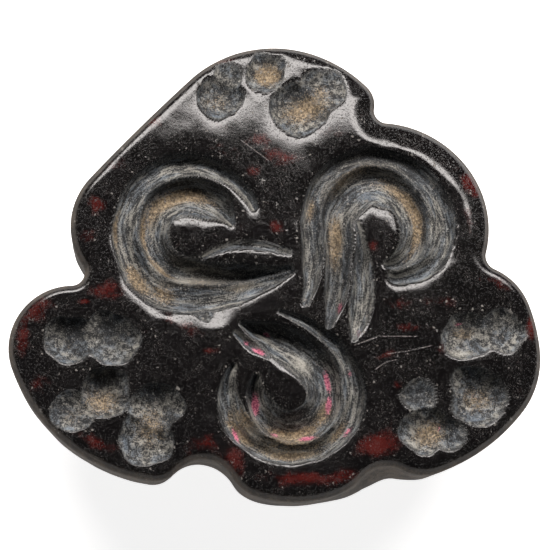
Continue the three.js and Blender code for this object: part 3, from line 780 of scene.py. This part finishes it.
def pierced_lug(skin, loop):
    """The lug: quarter-round root, upright sides and quarter-round foot, pierced from side to side."""
    count = len(loop) // 2
    root = [(LUG_ROOT * (1 - math.sin(a)), LUG_HEIGHT - BACK_SINK - LUG_ROOT * (1 - math.cos(a)))
            for a in np.linspace(0, math.pi / 2, ROOT_RINGS + 1)]
    side = [(0.0, z) for z in np.linspace(root[-1][1], LUG_FOOT_ROUND, SIDE_RINGS + 1)[1:]]
    foot = [(-LUG_FOOT_ROUND * (1 - math.cos(a)), LUG_FOOT_ROUND * (1 - math.sin(a)))
            for a in np.linspace(0, math.pi / 2, FOOT_RINGS + 1)[1:]]
    levels = root[1:] + side + foot
    shape = np.stack([lug_loop(count, grow) for grow, _ in levels])
    height = np.array([z for _, z in levels])[:, None]
    loops = skin.add(shape, height)
    skin.halve(loop, loops[0])
    middle = len(root) - 1 + SIDE_RINGS // 2 - 1
    rows = slice(middle - HOLE_ROWS, middle + HOLE_ROWS + 1)
    x, y = shape[middle].T
    sides = [int(np.argmin(np.abs(y) + (side * x < 0) * LUG_LENGTH)) for side in (1, -1)]
    keep = np.ones((len(levels) - 1, count), bool)
    for at in sides:
        keep[middle - HOLE_ROWS:middle + HOLE_ROWS, at - HOLE_COLUMNS:at + HOLE_COLUMNS] = False
    skin.rings(loops, keep)
    spans = [slice(at - HOLE_COLUMNS, at + HOLE_COLUMNS + 1) for at in sides]
    string_hole(skin, [(loops[rows, span], shape[rows, span], height[rows]) for span in spans])
    share = np.linspace(1, 0, FLOOR_RINGS + 1)[1:-1, None]
    under = skin.add(share[..., None] * shape[-1], 0.0, {})
    skin.rings(np.concatenate([loops[-1:], under]))
    skin.fan(under[-1], skin.add(np.zeros((1, 2)), 0.0, {})[0])


def string_hole(skin, blocks):
    """The hole between two openings left in the lug's sides.

    On each side the opening's square edge is drawn in to the mouth's circle, which turns into the bore by a
    quarter round. The bore's radius grows from the middle to its mouths in line with the distance.
    """
    ends = []
    for side, (numbers, shape, height) in zip((1, -1), blocks):
        order = (slice(None, None, -1), slice(None, None, side))
        border = grid_border(numbers[order].T)
        y = grid_border(shape[..., 1][order].T)
        z = grid_border(np.broadcast_to(height, numbers.shape)[order].T)
        ends.append((side, border, y, z))
    angle = np.arctan2(ends[0][3] - LUG_HEIGHT / 2, ends[0][2])
    c, s = np.cos(angle), np.sin(angle)
    bore_radius = lambda x: STRING_HOLE_RADIUS + STRING_HOLE_FLARE * abs(x) / (LUG_WIDTH / 2)
    mouth = bore_radius(LUG_WIDTH / 2)
    halves = []
    for side, border, y, z in ends:
        share = np.linspace(0, 1, MOUTH_RINGS + 1)[1:, None]
        lip = mouth + STRING_HOLE_ROUND
        flat_y = y * (1 - share) + lip * c * share
        flat_z = z * (1 - share) + (LUG_HEIGHT / 2 + lip * s) * share
        flat = np.stack([side * lug_side(flat_y), flat_y, flat_z], -1)
        turn = np.linspace(0, math.pi / 2, MOUTH_RINGS + 1)[1:, None]
        radius = mouth + STRING_HOLE_ROUND * (1 - np.sin(turn))
        depth = lug_side(radius * c) - STRING_HOLE_ROUND * (1 - np.cos(turn))
        curl = np.stack([side * depth, radius * c, LUG_HEIGHT / 2 + radius * s], -1)
        start = curl[-1, :, 0] * side
        way = np.linspace(1, 0, BORE_RINGS + 1)[1:, None]
        x = start * way
        bore = np.stack([side * x, bore_radius(x) * c, LUG_HEIGHT / 2 + bore_radius(x) * s], -1)
        halves.append(np.concatenate([flat, curl, bore]))
    whole = np.concatenate([halves[0], halves[1][-2::-1]])
    numbers = skin.add(whole[..., :2], whole[..., 2])
    numbers = np.concatenate([ends[0][1][None], numbers, ends[1][1][None]])
    skin.sheet(np.concatenate([numbers, numbers[:, :1]], 1).T)


def carved_seal():
    """The whole seal as one closed surface."""
    skin = Skin()
    rim = even_loop(seal_outline(), 4 * FACE_CELLS, GRID_START)
    normal = outward(rim)
    loop, top = carve_face(skin, rim, normal)
    loop, inset = plate_wall(skin, loop, top, rim, normal)
    loop = plate_back(skin, loop, rim[::2], normal[::2], inset[::2])
    pierced_lug(skin, loop)
    return skin.build("seal_stone")


def node(tree, kind, inputs=(), **settings):
    """A shader node. inputs are values, or sockets that feed it, by place or by name."""
    made = tree.nodes.new("ShaderNode" + kind)
    for name, value in settings.items():
        setattr(made, name, value)
    for key, value in inputs.items() if isinstance(inputs, dict) else enumerate(inputs):
        if isinstance(value, bpy.types.NodeSocket):
            tree.links.new(value, made.inputs[key])
        else:
            made.inputs[key].default_value = value
    return made


def sums(tree, operation, *values, clamp=False):
    """One sum of values or sockets."""
    return node(tree, "Math", values, operation=operation, use_clamp=clamp).outputs[0]


def vectors(tree, operation, *values, output=0):
    """One sum of vectors."""
    return node(tree, "VectorMath", values, operation=operation).outputs[output]


def scaled(tree, vector, factor):
    """A vector times a number."""
    return node(tree, "VectorMath", {0: vector, "Scale": factor}, operation="SCALE").outputs[0]


def blend(tree, share, first, second, kind="MIX"):
    """A mixture of two colours, each a socket or red, green and blue."""
    first, second = ((*colour, 1.0) if isinstance(colour, tuple) else colour for colour in (first, second))
    made = node(tree, "Mix", {0: share, 6: first, 7: second}, data_type="RGBA", blend_type=kind)
    return made.outputs[2]


def rise(tree, value, low, high, to_low=0.0, to_high=1.0):
    """Smooth step of a value from low to high."""
    made = node(tree, "MapRange", [value, low, high, to_low, to_high], interpolation_type="SMOOTHSTEP")
    return made.outputs[0]


def noise(tree, place, scale, detail, roughness):
    """Cloudy noise from 0 to 1."""
    return node(tree, "TexNoise", [place, 0.0, scale, detail, roughness]).outputs[0]


def field(tree, name, output="Fac"):
    """One of the piece's own fields."""
    return node(tree, "Attribute", attribute_name=name, attribute_type="GEOMETRY").outputs[output]


def grouping(name, inputs, outputs):
    """An empty node group with its ends: (tree, input node, output node)."""
    tree = bpy.data.node_groups.new(name, "ShaderNodeTree")
    for label, kind in inputs:
        tree.interface.new_socket(label, in_out="INPUT", socket_type="NodeSocket" + kind)
    for label, kind in outputs:
        tree.interface.new_socket(label, in_out="OUTPUT", socket_type="NodeSocket" + kind)
    return tree, tree.nodes.new("NodeGroupInput"), tree.nodes.new("NodeGroupOutput")


def crumbs_group():
    """Crumbs: ragged grains at random places, each as wide as its own random number, only a share of them."""
    inputs = [("Where", "Vector"), ("Size", "Float"), ("Share", "Float")]
    tree, start, end = grouping("crumbs", inputs, [("Mask", "Float")])
    where, size, share = start.outputs[:3]
    scale = sums(tree, "DIVIDE", 1.0, size)
    rags = node(tree, "TexNoise", {"Vector": where, "Scale": 7.0, "Detail": 2.0})
    shift = vectors(tree, "SUBTRACT", rags.outputs[1], (0.5, 0.5, 0.5))
    ragged = vectors(tree, "ADD", where, scaled(tree, shift, size))
    cells = node(tree, "TexVoronoi", {"Vector": ragged, "Scale": scale, "Randomness": 1.0})
    chance = node(tree, "SeparateColor", [cells.outputs["Color"]])
    width = rise(tree, chance.outputs[1], 0.0, 1.0, 0.10, 0.42)
    inside = sums(tree, "SUBTRACT", width, cells.outputs["Distance"])
    grain = rise(tree, inside, 0.0, 0.10)
    kept = sums(tree, "LESS_THAN", chance.outputs[0], share)
    tree.links.new(sums(tree, "MULTIPLY", grain, kept), end.inputs["Mask"])
    return tree


def scratch_group():
    """Scratch: 1 on the straight line between two points seen from above, fading out over its width."""
    inputs = [("Where", "Vector"), ("From", "Vector"), ("To", "Vector"), ("Width", "Float")]
    tree, start, end = grouping("scratch", inputs, [("Mask", "Float")])
    where, first, last, width = start.outputs[:4]
    reach = vectors(tree, "SUBTRACT", vectors(tree, "MULTIPLY", where, (1.0, 1.0, 0.0)), first)
    line = vectors(tree, "SUBTRACT", last, first)
    ahead = vectors(tree, "DOT_PRODUCT", reach, line, output="Value")
    whole = vectors(tree, "DOT_PRODUCT", line, line, output="Value")
    share = sums(tree, "DIVIDE", ahead, whole, clamp=True)
    far = vectors(tree, "DISTANCE", reach, scaled(tree, line, share), output="Value")
    fade = rise(tree, far, width, 0.0)
    ends = sums(tree, "MULTIPLY", rise(tree, share, 0.0, 0.12), rise(tree, share, 1.0, 0.8))
    tree.links.new(sums(tree, "MULTIPLY", fade, ends), end.inputs["Mask"])
    return tree


# Scratches on the polished face: from x, y to x, y, width
SCRATCHES = [
    ((5.5, -4.4), (7.4, -3.65), 0.07),
    ((7.2, -3.7), (10.3, -3.6), 0.055),
    ((7.9, -4.95), (9.2, -4.7), 0.06),
    ((9.1, -4.75), (11.3, -4.2), 0.05),
    ((7.0, -6.1), (7.9, -5.5), 0.06),
    ((7.8, -5.55), (8.7, -5.3), 0.05),
    ((-2.6, 10.6), (-0.4, 8.9), 0.05),
]


def polished_stone():
    """Black polished stone with dark red clouds, its carving matt blue-grey with soil, its sides plain."""
    material = bpy.data.materials.new("polished_stone")
    material.use_nodes = True
    tree = material.node_tree
    tree.nodes.clear()
    kinds = ("MULTIPLY", "MULTIPLY_ADD", "ADD", "MAXIMUM")
    times, scale_add, add, most = (partial(sums, tree, kind) for kind in kinds)
    step, mix, cloudy, read = (partial(make, tree) for make in (rise, blend, noise, field))
    crumbs, scratch, placed = crumbs_group(), scratch_group(), partial(node, tree, "Group")
    where = scaled(tree, node(tree, "TexCoord").outputs["Object"], 1 / MM)
    cut, wall, face, grain = read("cut"), read("wall"), read("face"), read("grain", "Vector")

    clouds = cloudy(where, 0.9, 5.0, 0.65)
    fine = cloudy(where, 5.0, 4.0, 0.75)
    grit = cloudy(where, 9.0, 3.0, 0.7)
    stretched = vectors(tree, "MULTIPLY", grain, (0.42, 2.7, 1.0))
    streaks = cloudy(stretched, 1.7, 5.0, 0.72)

    # Polished face: near black, with dark red clouds, worn hazy spots and pale specks
    red = scale_add(clouds, 1.3, -0.56)
    red = scale_add(read("red"), 0.6, red)
    red = step(times(red, add(fine, grit)), 0.30, 0.95)
    stone = mix(red, (0.0032, 0.0024, 0.0024), (0.080, 0.0075, 0.0055))
    haze = times(step(fine, 0.52, 0.72), step(clouds, 0.40, 0.60))
    stone = mix(times(haze, 0.6), stone, (0.065, 0.058, 0.055))
    flecks = times(step(grit, 0.60, 0.69), step(clouds, 0.45, 0.60))
    stone = mix(times(flecks, 0.8), stone, (0.19, 0.18, 0.17))

    # Matt carving: dark and pale streaks along the cut, under soil, blue bloom and pink
    pale_lines = step(scale_add(grit, 0.65, streaks), 0.745, 0.94)
    broad = cloudy(stretched, 0.55, 3.0, 0.6)
    pale = mix(step(broad, 0.40, 0.60), (0.19, 0.22, 0.25), (0.33, 0.32, 0.285))
    matt = mix(pale_lines, (0.014, 0.015, 0.017), pale)
    matt = mix(step(broad, 0.47, 0.36), matt, (0.48, 0.49, 0.50), "MULTIPLY")
    matt = mix(step(fine, 0.60, 0.69), matt, (0.52, 0.51, 0.48))
    # Pale grit, painted light on the sides of pits and grooves that face the light
    ash = step(scale_add(grit, 1.5, read("ash")), 1.1, 1.8)
    matt = mix(times(ash, 0.75), matt, (0.50, 0.48, 0.42))
    bloom = step(scale_add(grit, 1.3, read("blue")), 1.12, 1.78)
    matt = mix(times(bloom, 0.65), matt, (0.20, 0.245, 0.295))
    loose = step(scale_add(grit, 1.9, read("soil")), 1.25, 1.75)
    earth = mix(step(fine, 0.38, 0.66), (0.10, 0.066, 0.034), (0.48, 0.36, 0.215))
    matt = mix(times(loose, 0.9), matt, earth)
    flush = step(scale_add(grit, 1.7, read("pink")), 1.25, 1.6)
    rose = mix(step(grit, 0.42, 0.60), (0.28, 0.025, 0.09), (0.80, 0.27, 0.36))
    matt = mix(flush, matt, rose)
    # Painted shade: near black where the dark tints lie, on walls and hollows in shade
    painted_shade = times(read("dark"), step(add(fine, grit), 1.34, 0.94))
    matt = mix(times(painted_shade, 0.95), matt, (0.008, 0.0085, 0.01))
    matt = mix(step(clouds, 0.52, 0.36), matt, (0.6, 0.6, 0.6), "MULTIPLY")
    colour = mix(cut, stone, matt)

    # Plain sides and back
    dull = mix(step(add(clouds, fine), 0.85, 1.15), (0.022, 0.016, 0.011), (0.085, 0.064, 0.045))
    colour = mix(times(wall, 0.8), colour, dull)

    # Specks, crumbs and scratches on the face, thicker along the lips of the carving
    small = placed({"Where": where, "Size": 0.24, "Share": 0.12}, node_tree=crumbs).outputs["Mask"]
    large = placed({"Where": where, "Size": 0.50, "Share": 0.05}, node_tree=crumbs).outputs["Mask"]
    patchy = step(scale_add(read("rim"), 0.16, clouds), 0.46, 0.62)
    dust = step(scale_add(read("rim"), 0.07, grit), 0.66, 0.74)
    white = most(most(small, large), dust)
    white = times(white, times(face, patchy))
    colour = mix(times(white, 0.8), colour, (0.24, 0.225, 0.205))
    lines = [placed({"Where": where, "From": (*start, 0.0), "To": (*stop, 0.0), "Width": width},
                    node_tree=scratch).outputs["Mask"] for start, stop, width in SCRATCHES]
    marks = times(reduce(most, lines), times(face, step(grit, 0.42, 0.60)))
    colour = mix(times(marks, 0.8), colour, (0.22, 0.19, 0.18))

    rough = scale_add(step(fine, 0.40, 0.75), 0.12, 0.045)
    rough = scale_add(wall, 0.80, rough)
    rough = most(rough, times(cut, 0.72))
    rough = most(rough, times(white, 0.8))

    relief = times(cut, scale_add(streaks, 1.3, grit))
    relief = scale_add(fine, scale_add(wall, 0.6, 0.16), relief)
    relief = scale_add(step(grit, 0.42, 0.32), -0.24, relief)
    relief = scale_add(white, 0.5, relief)
    relief = scale_add(marks, -0.4, relief)
    bump = node(tree, "Bump", {"Strength": 1.0, "Distance": 0.05 * MM, "Height": relief})

    shader = node(tree, "BsdfPrincipled", {"Base Color": colour, "Roughness": rough, "IOR": 1.52,
                                           "Normal": bump.outputs[0]})
    node(tree, "OutputMaterial", {"Surface": shader.outputs[0]})
    return material


def studio_floor():
    """A plain pale floor under the seal, wide enough to reach past every view."""
    reach = 4.0
    mesh = bpy.data.meshes.new("floor")
    mesh.from_pydata([(-reach, -reach, 0), (reach, -reach, 0), (reach, reach, 0), (-reach, reach, 0)], [],
                     [(0, 1, 2, 3)])
    material = bpy.data.materials.new("floor")
    material.use_nodes = True
    settings = {"Base Color": (0.9, 0.9, 0.9, 1), "Roughness": 0.9, "Specular IOR Level": 0.1,
                "Emission Color": (1.0, 1.0, 1.0, 1), "Emission Strength": 0.84}
    for name, value in settings.items():
        material.node_tree.nodes["Principled BSDF"].inputs[name].default_value = value
    mesh.materials.append(material)
    linked("floor", mesh)


def compass(azimuth, elevation):
    """Unit vector from the seal: azimuth in degrees from +Y towards +X, elevation above the floor."""
    a, e = math.radians(azimuth), math.radians(elevation)
    return Vector((math.sin(a) * math.cos(e), math.cos(a) * math.cos(e), math.sin(e)))


def softbox(name, azimuth, elevation, distance, size, power, colour):
    """A soft rectangular light that faces the seal."""
    data = bpy.data.lights.new(name, "AREA")
    data.shape = "RECTANGLE"
    data.size, data.size_y = size
    data.energy = power
    data.color = colour
    light = linked(name, data)
    direction = compass(azimuth, elevation)
    light.location = direction * distance
    light.rotation_mode = "QUATERNION"
    light.rotation_quaternion = direction.to_track_quat("Z", "Y")
    light.visible_camera = False


def photo_camera():
    """The camera of the photograph: from a little to the left of the seal's foot, high above it."""
    data = bpy.data.cameras.new("camera")
    data.lens = 250.0
    data.sensor_width = 36.0
    data.clip_start = 0.01
    camera = linked("camera", data)
    back = compass(202, 77.5)
    across = Vector((0, 1, 0)).cross(back).normalized()
    matrix = Matrix((across, back.cross(across), back)).transposed().to_4x4()
    matrix.translation = (Vector((-0.05, 0.75, 12.5)) + back * 272.8) * MM
    camera.matrix_world = matrix
    bpy.context.scene.camera = camera


seal = carved_seal()
seal.data.materials.append(polished_stone())
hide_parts("seal")
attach(seal, "root")

studio_floor()
softbox("key", 6.0, 47.8, 0.6, (0.84, 0.22), 7.9, (1.0, 0.95, 0.92))
world = bpy.data.worlds.new("studio")
world.use_nodes = True
background = world.node_tree.nodes["Background"]
background.inputs["Color"].default_value = (0.9, 0.95, 1.0, 1)
background.inputs["Strength"].default_value = 0.05
bpy.context.scene.world = world
bpy.context.scene.view_settings.view_transform = "Standard"
photo_camera()
